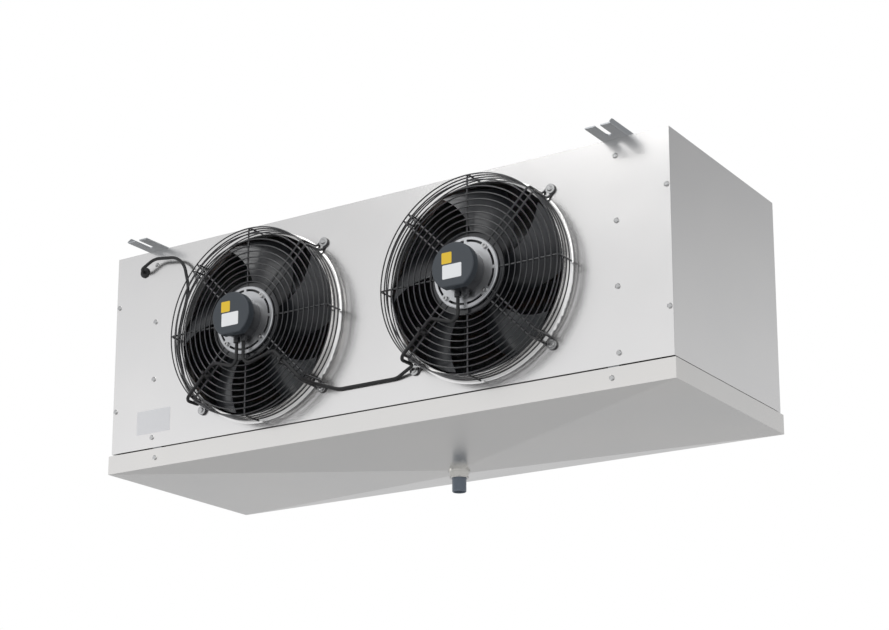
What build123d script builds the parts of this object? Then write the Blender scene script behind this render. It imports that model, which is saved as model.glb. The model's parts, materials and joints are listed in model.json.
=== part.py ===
"""Walk-in unit cooler: a ceiling-hung evaporator with two guarded axial fans.

Frame: millimetres, +Z up. The origin is the middle of the casing's top face. The fans blow
out of the front, towards -Y; air enters through the coil's fins at the back.
"""

from build123d import *
import math
import os

# ---- casing ---------------------------------------------------------------------------
CASING_WIDTH = 1260.0
CASING_DEPTH = 436.0
CASING_HEIGHT = 414.0
SHEET = 1.2                    # casing sheet thickness
FOLD = 14.0                    # width of a folded edge
SEAT_GAP = 0.2                 # gap left between sheets that are laid on each other

# ---- suspension brackets ----------------------------------------------------------------
BRACKET_INSET = 105.0          # slot of each bracket from the casing's end
BRACKET_WIDTH = 50.0
BRACKET_LIP = 12.0             # upright edge on the outer side
BRACKET_SHEET = 2.5
BRACKET_REACH = 64.0           # how far a bracket stands out past the front and the back
SLOT_WIDTH = 11.0
SLOT_DEPTH = 46.0              # from the front tip to the end of the open slot
REAR_HOLE_INSET = 24.0         # rear hanging hole from the rear tip
BRACKET_BOLT_Y = 150.0
BRACKET_BOLT = 4.0             # shank radius

# ---- fans -------------------------------------------------------------------------------
FAN_PITCH = 500.0
FAN_DROP = 212.0               # fan axis below the casing's top
NOZZLE_RADIUS = 180.0          # inside of the drawn nozzle
NOZZLE_REACH = 24.0            # lip of the nozzle in front of the panel
NOZZLE_FILLET = 10.0
TIP_CLEARANCE = 4.0
BLADE_COUNT = 5
BLADE_SHEET = 1.8
BLADE_TIP_PITCH = 22.0         # pitch angle of a blade at its tip, degrees
BLADE_ROOT_PITCH = 36.0
BLADE_TIP_CHORD = 120.0
BLADE_ROOT_CHORD = 62.0
BLADE_SWEEP = 26.0             # how far the tip leads the root, degrees
BLADE_CAMBER = 0.13            # rise of the curved section over half its chord
BLADE_CENTRE = 4.0             # middle of the blades in front of the panel

# ---- guard ------------------------------------------------------------------------------
GUARD_REACH = 55.0             # front rings in front of the panel
GUARD_RADIUS = 186.0           # outermost front ring
RING_COUNT = 10
RING_WIRE = 2.6                # wire diameters
SPOKE_WIRE = 3.6
ARM_WIRE = 4.4
INNER_RING_RADIUS = 77.0
SIDE_RING_COUNT = 4
SIDE_RING_STEP = 11.0
FOOT_RADIUS = 205.0            # guard screws, from the fan axis
ARM_SPREAD = 7.5               # half the distance between an arm's two wires
ARM_BEND = 7.0
WELD = 0.5                     # how deep crossing wires are sunk into each other
WASHER_RADIUS = 9.0
WASHER = 1.2

# ---- motor ------------------------------------------------------------------------------
FLANGE_RADIUS = 67.0
FLANGE_THICKNESS = 5.0
FLANGE_BOLT_RADIUS = 58.5
FLANGE_SLOT = 4.5              # width of the flange's curved slots
CAP_RADIUS = 44.0
CAP_FRONT = 101.0              # front of the terminal cap in front of the panel
CAP_THICKNESS = 16.0
CAP_EDGE = 3.0
CAP_FLAT = 38.0                # flat lower edge of the cap below the fan axis
NECK_RADIUS = 40.0             # motor body between the cap and the flange
ROTOR_RADIUS = 53.0
ROTOR_WALL = 4.0
ROTOR_LENGTH = 60.0
AIR_GAP = 1.0
SHAFT_RADIUS = 6.0
BEARING_RADIUS = 16.0
BEARING_WIDTH = 10.0
RUNNING_CLEARANCE = 0.05
MOVING_GAP = 2.5               # between the turning rotor and the fixed flange

# ---- coil -------------------------------------------------------------------------------
COMPARTMENT = 131.0            # from the casing's end to the inner face of a coil end plate
END_PLATE_SHEET = 1.5
END_PLATE_FLANGE = 38.0
FIN_PITCH = 8.0
FIN_SHEET = 0.5
COIL_DEPTH = 132.0
COIL_HEIGHT = 376.0
TUBE_RADIUS = 8.0
TUBE_ROWS = 3
TUBE_COUNT = 8                 # tubes in each row
TUBE_PITCH = 46.0
ROW_PITCH = 40.0
TUBE_WALL = 0.6
TUBE_STUB = 6.0                # straight end of a tube outside its end plate
HEADER_RADIUS = 14.0
SUCTION_RADIUS = 11.1
SUCTION_BORE = 9.6             # sockets that the outside pipes are soldered into
LIQUID_RADIUS = 6.35
LIQUID_BORE = 4.85
SOCKET_DEPTH = 24.0
CAPILLARY_RADIUS = 2.4
PIPE_INSET = 40.0              # pipe ends from the casing's end
PIPE_REACH = 30.0              # pipe ends behind the casing
LIQUID_DROP = 235.0

# ---- drip tray --------------------------------------------------------------------------
TRAY_GAP = 4.0                 # shadow gap between the casing and the tray
TRAY_OVERHANG = 4.0
TRAY_WALL = 37.5
TRAY_SHEET = 1.5
TRAY_FALL = 12.0               # how far the floor falls from its edges to the drain
DRAIN_Y = 95.0                 # drain behind the middle of the casing
DRAIN_RADIUS = 14.0
DRAIN_WALL = 2.5
DRAIN_THREAD = 15.0            # radius of the threaded length inside the nut
DRAIN_FLANGE_RADIUS = 22.0
DRAIN_FLANGE = 3.0
DRAIN_NUT = 12.0
DRAIN_NUT_FLATS = 37.0
DRAIN_REACH = 27.0             # stub below its nut
HINGE_INSET = 200.0            # hinges from the casing's end
HINGE_LENGTH = 60.0
KNUCKLE_RADIUS = 4.5
HINGE_PIN_RADIUS = 2.5
HINGE_LEAF = 1.5
LEAF_HEIGHT = 20.0
KNUCKLE_GAP = 0.4
TRAY_SCREW_INSET = 118.0
LUG_WIDTH = 22.0
LUG_SHEET = 2.0
LUG_RISE = 6.0                 # lower end of a lug above the tray's lower edge
LUG_CLEARANCE = 0.5

# ---- screws and leads -------------------------------------------------------------------
SCREW_HEAD = 5.0
SCREW_HEAD_HEIGHT = 2.6
SCREW_SHANK = 2.0
SCREW_CLEARANCE = 0.2
PANEL_SCREW_INSET = 105.0
PANEL_SCREW_FIRST = 32.0       # first screw of a column below the casing's top
PANEL_SCREW_PITCH = 120.3
EDGE_SCREW_INSET = 6.5
EDGE_SCREW_DROPS = (106.0, 326.0)
LEAD_RADIUS = 3.2
GROMMET_INSET = 73.0
GROMMET_DROP = 42.0
GROMMET_RADIUS = 11.0
GLAND_X = 8.0                  # glands either side of the motor's middle
GLAND_RADIUS = 6.5
TIE_RADIUS = 131.5             # cable ties, from the fan axis

# ---- places worked out from the sizes ------------------------------------------------------
BOTTOM = -CASING_HEIGHT
FRONT = -CASING_DEPTH / 2
BACK = CASING_DEPTH / 2
SIDE = CASING_WIDTH / 2
END_PLATE_X = SIDE - COMPARTMENT
BRACKET_X = SIDE - BRACKET_INSET
PIPE_X = SIDE - PIPE_INSET
HINGE_X = SIDE - HINGE_INSET
TRAY_SCREW_X = SIDE - TRAY_SCREW_INSET
PANEL_SCREW_X = SIDE - PANEL_SCREW_INSET
GROMMET_X = GROMMET_INSET - SIDE
FAN_X = FAN_PITCH / 2
FAN_Z = -FAN_DROP
SKIN = FRONT + SHEET           # inner face of the front panel
TOP_SKIN = -SHEET
COIL_BACK = BACK - 8.0
COIL_FRONT = COIL_BACK - COIL_DEPTH
COIL_TOP = -18.0
COIL_BOTTOM = COIL_TOP - COIL_HEIGHT
EDGE_SCREW_X = SIDE - EDGE_SCREW_INSET
TRAY_TOP = BOTTOM - TRAY_GAP
TRAY_RIM = TRAY_TOP - TRAY_WALL
TRAY_X = SIDE + TRAY_OVERHANG
TRAY_Y = BACK + TRAY_OVERHANG
TRAY_SCREW_Z = TRAY_TOP - TRAY_WALL / 2
HINGE_Y = TRAY_Y + KNUCKLE_RADIUS + KNUCKLE_GAP
HINGE_Z = (BOTTOM + TRAY_TOP) / 2
GUARD_Y = FRONT - GUARD_REACH
SPOKE_Y = GUARD_Y + RING_WIRE + SPOKE_WIRE / 2 - WELD
SPOKE_RADIUS = GUARD_RADIUS + (RING_WIRE + SPOKE_WIRE) / 2 - WELD
ARM_Y = GUARD_Y + RING_WIRE + ARM_WIRE / 2 - WELD
ARM_RADIUS = GUARD_RADIUS + (RING_WIRE + ARM_WIRE) / 2 - WELD
FLANGE_BACK = ARM_Y - ARM_WIRE / 2
FLANGE_FRONT = FLANGE_BACK - FLANGE_THICKNESS
ROTOR_FRONT = ARM_Y + ARM_WIRE / 2 + MOVING_GAP
ROTOR_BACK = ROTOR_FRONT + ROTOR_LENGTH
STATOR_RADIUS = ROTOR_RADIUS - ROTOR_WALL - AIR_GAP
PLATE_BORE = STATOR_RADIUS + AIR_GAP
TIP_RADIUS = NOZZLE_RADIUS - TIP_CLEARANCE
CAP_Y = FRONT - CAP_FRONT
GLAND_Y = FLANGE_FRONT - 12
GLAND_DROP = -NECK_RADIUS - 8   # lower end of the glands below the fan axis
ARM_ANGLES = (45, 135, 225, 315)
SPOKE_ANGLES = (0, 90, 180, 270)
SUCTION_Z = (COIL_TOP + COIL_BOTTOM - (TUBE_COUNT - 1) * TUBE_PITCH) / 2 - TUBE_PITCH / 12
LIQUID_Z = -LIQUID_DROP
DRAIN_FLOOR = TRAY_RIM - TRAY_FALL


# ---- small builders -----------------------------------------------------------------------
def block(x0, x1, y0, y1, z0, z1):
    """A box between two corners."""
    size = (abs(x1 - x0), abs(y1 - y0), abs(z1 - z0))
    return Pos((x0 + x1) / 2, (y0 + y1) / 2, (z0 + z1) / 2) * Box(*size)


def rod_x(radius, x0, x1, y, z):
    """A round bar along X."""
    return Pos((x0 + x1) / 2, y, z) * Rot(0, 90, 0) * Cylinder(radius, abs(x1 - x0))


def rod_y(radius, x, y0, y1, z):
    """A round bar along Y."""
    return Pos(x, (y0 + y1) / 2, z) * Rot(90, 0, 0) * Cylinder(radius, abs(y1 - y0))


def rod_z(radius, x, y, z0, z1):
    """A round bar along Z."""
    return Pos(x, y, (z0 + z1) / 2) * Cylinder(radius, abs(z1 - z0))


def turned(points):
    """A solid of revolution about Y, from a closed outline of (radius, y) points."""
    return revolve(make_face(Polyline(*points, close=True)), Axis.Y)


def ring(radius, wire, y):
    """A guard ring of square section whose front lies at y."""
    return rod_y(radius + wire / 2, 0, y, y + wire, 0) - rod_y(radius - wire / 2, 0, y - 1, y + wire + 1, 0)


def at_fan(x, shape):
    """Moves a shape built on the Y axis to a fan's axis."""
    return Pos(x, 0, FAN_Z) * shape


def spun(shape, degrees):
    """Turns a shape about the Y axis; positive is anticlockwise from the front."""
    return Rot(0, -degrees, 0) * shape


def polar(x, radius, degrees, y=FRONT):
    """A place on a circle round a fan axis, seen from the front, 0 at the right."""
    a = math.radians(degrees)
    return (x + radius * math.cos(a), y, FAN_Z + radius * math.sin(a))


def lead(name, points, radii):
    """A lead along straight runs joined by tangent arcs, with its length checked."""
    path = FilletPolyline(*points, radius=radii)
    start = Plane(origin=path @ 0, z_dir=path % 0)
    solid = sweep(start * Circle(LEAD_RADIUS), path=path)
    expected = math.pi * LEAD_RADIUS ** 2 * path.length
    print(f"{name}: length {path.length:.1f}, volume {solid.volume / expected:.4f}, radii {radii}")
    return solid


def mirrored(shapes):
    """The same pieces on the other side of the casing's middle."""
    if isinstance(shapes, list):
        return [mirror(s, about=Plane.YZ) for s in shapes]
    return mirror(shapes, about=Plane.YZ)


def pan_head(x, y, z, shank):
    """A pan-head screw whose head stands on a surface at y that faces -Y."""
    head = rod_y(SCREW_HEAD, x, y - SCREW_HEAD_HEIGHT, y, z)
    rim = head.edges().filter_by(GeomType.CIRCLE).sort_by(Axis.Y)[0]
    head = chamfer(rim, SCREW_HEAD_HEIGHT * 0.5)
    return head + rod_y(SCREW_SHANK, x, y, y + shank, z)


def save(name, shapes):
    """Writes one node, from one solid or a list of separate solids."""
    solids = []
    for shape in shapes if isinstance(shapes, list) else [shapes]:
        solids += shape.solids()
    whole = Compound(children=solids) if len(solids) > 1 else solids[0]
    export_step(whole, f"parts/{name}.step")


# ---- casing -----------------------------------------------------------------------------
def panel_screw_places():
    """Both columns of screws that hold the front panel to the coil end plates."""
    drops = [PANEL_SCREW_FIRST + i * PANEL_SCREW_PITCH for i in range(4)]
    return [(sx * PANEL_SCREW_X, FRONT, -d) for sx in (-1, 1) for d in drops]


def edge_screw_places():
    """Screws through the front panel's ends into the side covers."""
    return [(sx * EDGE_SCREW_X, FRONT, -d) for sx in (-1, 1) for d in EDGE_SCREW_DROPS]


def guard_screw_places(x):
    """The four screws that hold one fan guard."""
    return [polar(x, FOOT_RADIUS, a) for a in ARM_ANGLES]


def nozzle():
    """The drawn nozzle: a bell that turns out of the panel and runs forward to a lip."""
    outer = NOZZLE_RADIUS + SHEET
    root = outer + NOZZLE_FILLET
    lip = FRONT - NOZZLE_REACH
    bend = FRONT - NOZZLE_FILLET
    c = 1 - math.sqrt(0.5)
    back_curve = ThreePointArc(
        (root, SKIN),
        (NOZZLE_RADIUS + c * (NOZZLE_FILLET + SHEET), SKIN - c * (NOZZLE_FILLET + SHEET)),
        (NOZZLE_RADIUS, bend),
    )
    front_curve = ThreePointArc(
        (outer, bend),
        (outer + c * NOZZLE_FILLET, FRONT - c * NOZZLE_FILLET),
        (root, FRONT),
    )
    straight = [
        Line((root, FRONT), (root, SKIN)),
        Line((NOZZLE_RADIUS, bend), (NOZZLE_RADIUS, lip)),
        Line((NOZZLE_RADIUS, lip), (outer, lip)),
        Line((outer, lip), (outer, bend)),
    ]
    return revolve(make_face([back_curve, front_curve] + straight), Axis.Y)


def front_panel():
    """Front sheet with two drawn nozzles, folded back along its top and bottom."""
    sheet = block(-SIDE, SIDE, FRONT, SKIN, BOTTOM, 0)
    fold_end = END_PLATE_X - 1
    sheet += block(-fold_end, fold_end, FRONT, FRONT + FOLD, BOTTOM, BOTTOM + SHEET)
    root = NOZZLE_RADIUS + SHEET + NOZZLE_FILLET
    hole = SCREW_SHANK + SCREW_CLEARANCE
    places = panel_screw_places() + edge_screw_places()
    for x in (-FAN_X, FAN_X):
        sheet -= rod_y(root, x, FRONT - 1, SKIN + 1, FAN_Z)
        sheet += at_fan(x, nozzle())
        places += guard_screw_places(x)
    for x, _, z in places:
        sheet -= rod_y(hole, x, FRONT - 1, SKIN + 1, z)
    sheet -= rod_y(GROMMET_RADIUS * 0.7, GROMMET_X, FRONT - 1, SKIN + 1, -GROMMET_DROP)
    return sheet


def top_panel():
    """Top sheet, folded down along its back edge."""
    inset = SHEET + SEAT_GAP
    sheet = block(-SIDE + inset, SIDE - inset, SKIN + SEAT_GAP, BACK, TOP_SKIN, 0)
    sheet += block(-END_PLATE_X + 1, END_PLATE_X - 1, BACK - SHEET, BACK, -FOLD, 0)
    for sx in (-1, 1):
        for y in (-BRACKET_BOLT_Y, BRACKET_BOLT_Y):
            sheet -= rod_z(BRACKET_BOLT, sx * BRACKET_X, y, -SHEET - 1, 1)
    return sheet


def side_cover(with_pipes):
    """Right-hand end cover: a wall folded inwards at the front, the back and the bottom."""
    y0 = SKIN + SEAT_GAP
    z1 = TOP_SKIN - SEAT_GAP
    cover = block(SIDE - SHEET, SIDE, y0, BACK, BOTTOM, 0)
    cover += block(SIDE - FOLD, SIDE, y0, y0 + SHEET, BOTTOM, z1)
    inner = END_PLATE_X + END_PLATE_SHEET + SEAT_GAP
    cover += block(inner, SIDE, BACK - SHEET, BACK, BOTTOM, z1)
    cover += block(SIDE - FOLD, SIDE, y0, BACK, BOTTOM, BOTTOM + SHEET)
    cover += block(inner, SIDE, BACK - FOLD, BACK, BOTTOM, BOTTOM + SHEET)
    for drop in EDGE_SCREW_DROPS:
        cover -= rod_y(SCREW_SHANK, EDGE_SCREW_X, y0 - 1, y0 + SHEET + 1, -drop)
    if with_pipes:
        cover -= rod_y(SUCTION_RADIUS + 0.5, PIPE_X, BACK - 5, BACK + 1, SUCTION_Z)
        cover -= rod_y(LIQUID_RADIUS + 0.5, PIPE_X, BACK - 5, BACK + 1, LIQUID_Z)
    return cover


def end_plate():
    """Right-hand coil end plate, flanged outwards at the front."""
    x0, x1 = END_PLATE_X, END_PLATE_X + END_PLATE_SHEET
    y0 = SKIN
    y1 = BACK - SHEET - SEAT_GAP
    z1 = TOP_SKIN
    plate = block(x0, x1, y0, y1, BOTTOM + 6, z1)
    plate += block(x0, x0 + END_PLATE_FLANGE, y0, y0 + END_PLATE_SHEET, BOTTOM, z1)
    for y, z in tube_places():
        plate -= rod_x(TUBE_RADIUS, x0 - 1, x1 + 1, y, z)
    for x, _, z in panel_screw_places()[4:]:
        plate -= rod_y(SCREW_SHANK, x, y0 - 1, y0 + 5, z)
    return plate


def tray_lug():
    """Right-hand lug behind the end plate's flange; its open slot takes a tray screw."""
    y0 = SKIN + END_PLATE_SHEET
    low = TRAY_TOP - TRAY_WALL + LUG_RISE
    lug = block(TRAY_SCREW_X - LUG_WIDTH / 2, TRAY_SCREW_X + LUG_WIDTH / 2, y0, y0 + LUG_SHEET, low, BOTTOM + 14)
    slot = SCREW_SHANK + LUG_CLEARANCE
    lug -= rod_y(slot, TRAY_SCREW_X, y0 - 1, y0 + 5, TRAY_SCREW_Z)
    return lug - block(TRAY_SCREW_X - slot, TRAY_SCREW_X + slot, y0 - 1, y0 + 5, low - 1, TRAY_SCREW_Z)


def fan_partition():
    """Upright sheet between the fans, from the front panel to the coil."""
    z0, z1 = BOTTOM + 8, TOP_SKIN
    sheet = block(-SHEET / 2, SHEET / 2, SKIN, COIL_FRONT, z0, z1)
    return sheet + block(-SHEET / 2, FOLD, SKIN, SKIN + SHEET, z0, z1)


def rear_rail():
    """Angle under the coil's back edge, between the end covers; it carries the hinges."""
    x = END_PLATE_X + END_PLATE_SHEET
    rail = block(-x, x, BACK - SHEET, BACK, BOTTOM, BOTTOM + 26)
    rail += block(-x, x, BACK - 2 * FOLD, BACK, BOTTOM, BOTTOM + SHEET)
    return rail


def bracket():
    """Right-hand suspension bracket: an angle with an open slot in front and a hole behind."""
    half = BRACKET_WIDTH / 2
    reach = BACK + BRACKET_REACH
    plate = block(-half, half, -reach, reach, 0, BRACKET_SHEET)
    lip = block(half - BRACKET_SHEET, half, -reach, reach, 0, BRACKET_LIP)
    tips = lip.edges().filter_by(Axis.X).group_by(Axis.Z)[-1]
    plate += chamfer(tips, BRACKET_LIP - BRACKET_SHEET - 1)
    bend = plate.edges().filter_by(Axis.Y).group_by(Axis.Z)[0].sort_by(Axis.X)[-1]
    plate = fillet(bend, BRACKET_SHEET * 0.9)
    r = SLOT_WIDTH / 2
    slot_end = -reach + SLOT_DEPTH - r
    plate -= block(-r, r, -reach - 1, slot_end, -1, BRACKET_SHEET + 1)
    plate -= rod_z(r, 0, slot_end, -1, BRACKET_SHEET + 1)
    plate -= rod_z(r, 0, reach - REAR_HOLE_INSET, -1, BRACKET_SHEET + 1)
    for y in (-BRACKET_BOLT_Y, BRACKET_BOLT_Y):
        plate -= rod_z(BRACKET_BOLT, 0, y, -1, BRACKET_SHEET + 1)
    return Pos(BRACKET_X, 0, 0) * plate


def bracket_bolts(x):
    """Two hexagon bolts and nuts that hold a bracket to the casing's top."""
    bolts = []
    hexagon = RegularPolygon(6.5, 6, major_radius=False)
    for y in (-BRACKET_BOLT_Y, BRACKET_BOLT_Y):
        head = Pos(x, y, BRACKET_SHEET) * extrude(hexagon, 5.0)
        nut = Pos(x, y, TOP_SKIN - 6.5) * extrude(hexagon, 6.5)
        shank = rod_z(BRACKET_BOLT, x, y, TOP_SKIN - 9, BRACKET_SHEET + 1)
        bolts.append(head + nut + shank)
    return bolts


# ---- coil -------------------------------------------------------------------------------
def tube_places():
    """(y, z) of every tube, row by row, alternate rows staggered by half a pitch."""
    places = []
    middle_y = (COIL_FRONT + COIL_BACK) / 2
    middle_z = (COIL_TOP + COIL_BOTTOM) / 2
    for row in range(TUBE_ROWS):
        y = middle_y + (row - (TUBE_ROWS - 1) / 2) * ROW_PITCH
        shift = TUBE_PITCH / 4 * (1 if row % 2 else -1)
        for i in range(TUBE_COUNT):
            z = middle_z + (i - (TUBE_COUNT - 1) / 2) * TUBE_PITCH + shift
            places.append((y, z))
    return places


def coil_fins():
    """The pack of flat fins, each a separate sheet."""
    count = int(2 * END_PLATE_X / FIN_PITCH) - 1
    fins = []
    for i in range(count):
        x = (i - (count - 1) / 2) * FIN_PITCH
        fins.append(block(x - FIN_SHEET / 2, x + FIN_SHEET / 2, COIL_FRONT, COIL_BACK, COIL_BOTTOM, COIL_TOP))
    return fins


def coil_tubes():
    """Straight tubes through the fins and both end plates."""
    reach = END_PLATE_X + END_PLATE_SHEET + TUBE_STUB
    tube = rod_x(TUBE_RADIUS, -reach, reach, 0, 0) - rod_x(TUBE_RADIUS - TUBE_WALL, -reach - 1, reach + 1, 0, 0)
    return [Pos(0, y, z) * tube for y, z in tube_places()]


def return_bends(side):
    """U-bends that join neighbouring tubes of a row outside one end plate."""
    places = tube_places()
    start = END_PLATE_X + END_PLATE_SHEET + TUBE_STUB
    first = 0 if side > 0 else 1
    bends = []
    for row in range(TUBE_ROWS):
        column = places[row * TUBE_COUNT:(row + 1) * TUBE_COUNT]
        for (y, z0), (_, z1) in zip(column[first::2], column[first + 1::2]):
            loop = Pos(side * start, y, (z0 + z1) / 2) * Rot(90, 0, 0) * Torus((z1 - z0) / 2, TUBE_RADIUS)
            bends.append(loop & block(side * start, side * (start + TUBE_PITCH), y - 20, y + 20, z0 - 20, z1 + 20))
    return bends


def open_ends(lowest):
    """(y, z) of each row's lowest or highest tube, whose left end has no return bend."""
    places = tube_places()
    return [places[row * TUBE_COUNT + (0 if lowest else TUBE_COUNT - 1)] for row in range(TUBE_ROWS)]


def suction_header():
    """Header at the left that gathers the rows' lowest tubes, and its pipe out of the back."""
    x = -(END_PLATE_X + END_PLATE_SHEET + TUBE_STUB + HEADER_RADIUS)
    ends = open_ends(True)
    y0, y1 = ends[0][0] - 20, ends[-1][0] + 20
    header = rod_y(HEADER_RADIUS, x, y0, y1, SUCTION_Z)
    route = FilletPolyline(
        (x, y0 + 12, SUCTION_Z),
        (-PIPE_X, y0 + 12, SUCTION_Z),
        (-PIPE_X, BACK + PIPE_REACH, SUCTION_Z),
        radius=20,
    )
    pipe = sweep(Plane(origin=route @ 0, z_dir=route % 0) * Circle(SUCTION_RADIUS), path=route)
    bore = rod_y(SUCTION_BORE, -PIPE_X, BACK + PIPE_REACH - SOCKET_DEPTH, BACK + PIPE_REACH + 1, SUCTION_Z)
    body = header + pipe - bore
    for y, end_z in ends:
        body += rod_x(TUBE_RADIUS, x, x + HEADER_RADIUS, y, end_z)
    return body


def liquid_line():
    """Liquid pipe from the back to a distributor, whose feeds run to the highest tubes."""
    end_x = -(END_PLATE_X + END_PLATE_SHEET + TUBE_STUB)
    ends = open_ends(False)
    y_mid = ends[len(ends) // 2][0]
    cone_top, cone_low = ends[0][1] - 70, ends[0][1] - 110
    x = end_x - 46
    cone = Pos(x, y_mid, (cone_top + cone_low) / 2) * Cone(LIQUID_RADIUS, 15, cone_top - cone_low)
    route = FilletPolyline(
        (x, y_mid, cone_low + 5),
        (x, y_mid, LIQUID_Z),
        (-PIPE_X, y_mid, LIQUID_Z),
        (-PIPE_X, BACK + PIPE_REACH, LIQUID_Z),
        radius=[14, 20],
    )
    body = cone + sweep(Plane(origin=route @ 0, z_dir=route % 0) * Circle(LIQUID_RADIUS), path=route)
    body -= rod_y(LIQUID_BORE, -PIPE_X, BACK + PIPE_REACH - SOCKET_DEPTH, BACK + PIPE_REACH + 1, LIQUID_Z)
    for i, (y, z) in enumerate(ends):
        start_y = y_mid + (i - 1) * 8
        feed = FilletPolyline(
            (x, start_y, cone_top - 4),
            (x, start_y, cone_top + 16),
            (x, y, z),
            (end_x, y, z),
            radius=[9, 12] if i != 1 else 12,
        ) if i != 1 else FilletPolyline((x, start_y, cone_top - 4), (x, start_y, z), (end_x, y, z), radius=12)
        body += sweep(Plane(origin=feed @ 0, z_dir=feed % 0) * Circle(CAPILLARY_RADIUS), path=feed)
    return body


# ---- drip tray --------------------------------------------------------------------------
def pyramid(x, y, top, apex_radius, apex):
    """A four-sided funnel from the tray's rim down to a small square round the drain."""
    with BuildPart() as funnel:
        with BuildSketch(Plane.XY.offset(top)):
            Rectangle(2 * x, 2 * y)
        with BuildSketch(Plane.XY.offset(apex)):
            with Locations((0, DRAIN_Y)):
                Rectangle(2 * apex_radius, 2 * apex_radius)
        loft(ruled=True)
    return funnel.part


def drip_tray():
    """Tray: a floor that falls from all four sides to the drain, and four upright walls."""
    fold = TRAY_RIM + TRAY_SHEET
    x, y = TRAY_X - TRAY_SHEET, TRAY_Y - TRAY_SHEET
    floor = block(-TRAY_X, TRAY_X, -TRAY_Y, TRAY_Y, TRAY_RIM, fold)
    floor += pyramid(TRAY_X, TRAY_Y, TRAY_RIM, DRAIN_FLANGE_RADIUS, DRAIN_FLOOR)
    floor -= pyramid(x, y, fold, DRAIN_FLANGE_RADIUS, DRAIN_FLOOR + TRAY_SHEET)
    floor -= rod_z(DRAIN_THREAD, 0, DRAIN_Y, DRAIN_FLOOR - 1, DRAIN_FLOOR + TRAY_SHEET + 1)
    front = block(-TRAY_X, TRAY_X, -TRAY_Y, -y, fold, TRAY_TOP)
    for sx in (-1, 1):
        front -= rod_y(SCREW_SHANK, sx * TRAY_SCREW_X, -TRAY_Y - 1, -y + 1, TRAY_SCREW_Z)
    back = block(-TRAY_X, TRAY_X, y, TRAY_Y, fold, TRAY_TOP)
    side = block(x, TRAY_X, -y, y, fold, TRAY_TOP)
    return [floor, front, back, side, mirrored(side)]


def drain_fitting():
    """Threaded drain tube with a flange on the tray's floor."""
    top = DRAIN_FLOOR + TRAY_SHEET
    low = DRAIN_FLOOR - DRAIN_FLANGE - DRAIN_NUT - DRAIN_REACH
    tube = rod_z(DRAIN_RADIUS, 0, DRAIN_Y, low, top)
    tube += rod_z(DRAIN_THREAD, 0, DRAIN_Y, low + DRAIN_REACH, top)
    tube += rod_z(DRAIN_FLANGE_RADIUS - 2, 0, DRAIN_Y, top, top + 2)
    lower = tube.edges().filter_by(GeomType.CIRCLE).sort_by(Axis.Z)[0]
    tube = chamfer(lower, 1.0)
    return tube - rod_z(DRAIN_RADIUS - DRAIN_WALL, 0, DRAIN_Y, low - 1, top + 3)


def drain_nut():
    """Flanged hexagon nut that clamps the drain under the tray."""
    under = DRAIN_FLOOR - DRAIN_FLANGE
    nut = rod_z(DRAIN_FLANGE_RADIUS, 0, DRAIN_Y, under, DRAIN_FLOOR)
    hexagon = extrude(RegularPolygon(DRAIN_NUT_FLATS / 2, 6, major_radius=False), DRAIN_NUT)
    crown = Cone(DRAIN_NUT_FLATS / 2, DRAIN_NUT_FLATS / 2 + 9, 9)
    crown = Pos(0, 0, 4.5) * crown + Pos(0, 0, 12) * Cylinder(40, 6)
    nut += Pos(0, DRAIN_Y, under - DRAIN_NUT) * (hexagon & crown)
    return nut - rod_z(DRAIN_THREAD, 0, DRAIN_Y, under - DRAIN_NUT - 1, DRAIN_FLOOR + 1)


def knuckles(moving):
    """Knuckles of one hinge leaf: the outer two are fixed, the middle one moves."""
    third = HINGE_LENGTH / 3
    spans = [(1, 2)] if moving else [(0, 1), (2, 3)]
    parts = []
    for a, b in spans:
        x0 = -HINGE_LENGTH / 2 + a * third + (KNUCKLE_GAP / 2 if a else 0)
        x1 = -HINGE_LENGTH / 2 + b * third - (KNUCKLE_GAP / 2 if b < 3 else 0)
        barrel = rod_x(KNUCKLE_RADIUS, x0, x1, HINGE_Y, HINGE_Z)
        if moving:
            bridge = block(x0, x1, TRAY_Y, HINGE_Y, HINGE_Z - KNUCKLE_RADIUS, HINGE_Z - KNUCKLE_RADIUS + HINGE_LEAF)
        else:
            bridge = block(x0, x1, BACK, HINGE_Y, HINGE_Z + KNUCKLE_RADIUS - HINGE_LEAF, HINGE_Z + KNUCKLE_RADIUS)
        parts.append(barrel + bridge)
    return parts


def hinge_leaf(x, moving):
    """One leaf of a butt hinge, on the rear rail or on the tray's back wall."""
    half = HINGE_LENGTH / 2
    if moving:
        z1 = HINGE_Z - KNUCKLE_RADIUS
        leaf = block(-half, half, TRAY_Y, TRAY_Y + HINGE_LEAF, z1 - LEAF_HEIGHT, z1)
    else:
        z0 = HINGE_Z + KNUCKLE_RADIUS - HINGE_LEAF
        leaf = block(-half, half, BACK, BACK + HINGE_LEAF, z0, z0 + LEAF_HEIGHT)
    for part in knuckles(moving):
        leaf += part
    bore = HINGE_PIN_RADIUS + (RUNNING_CLEARANCE if moving else 0)
    leaf -= rod_x(bore, -half - 1, half + 1, HINGE_Y, HINGE_Z)
    return Pos(x, 0, 0) * leaf


def hinge_rivets(x, moving):
    """Two rivet heads on a hinge leaf."""
    y = (TRAY_Y if moving else BACK) + HINGE_LEAF
    z = HINGE_Z + (-1 if moving else 1) * (KNUCKLE_RADIUS - HINGE_LEAF + LEAF_HEIGHT / 2)
    return [rod_y(3.0, x + dx, y, y + 1.4, z) for dx in (-18, 18)]


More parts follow.
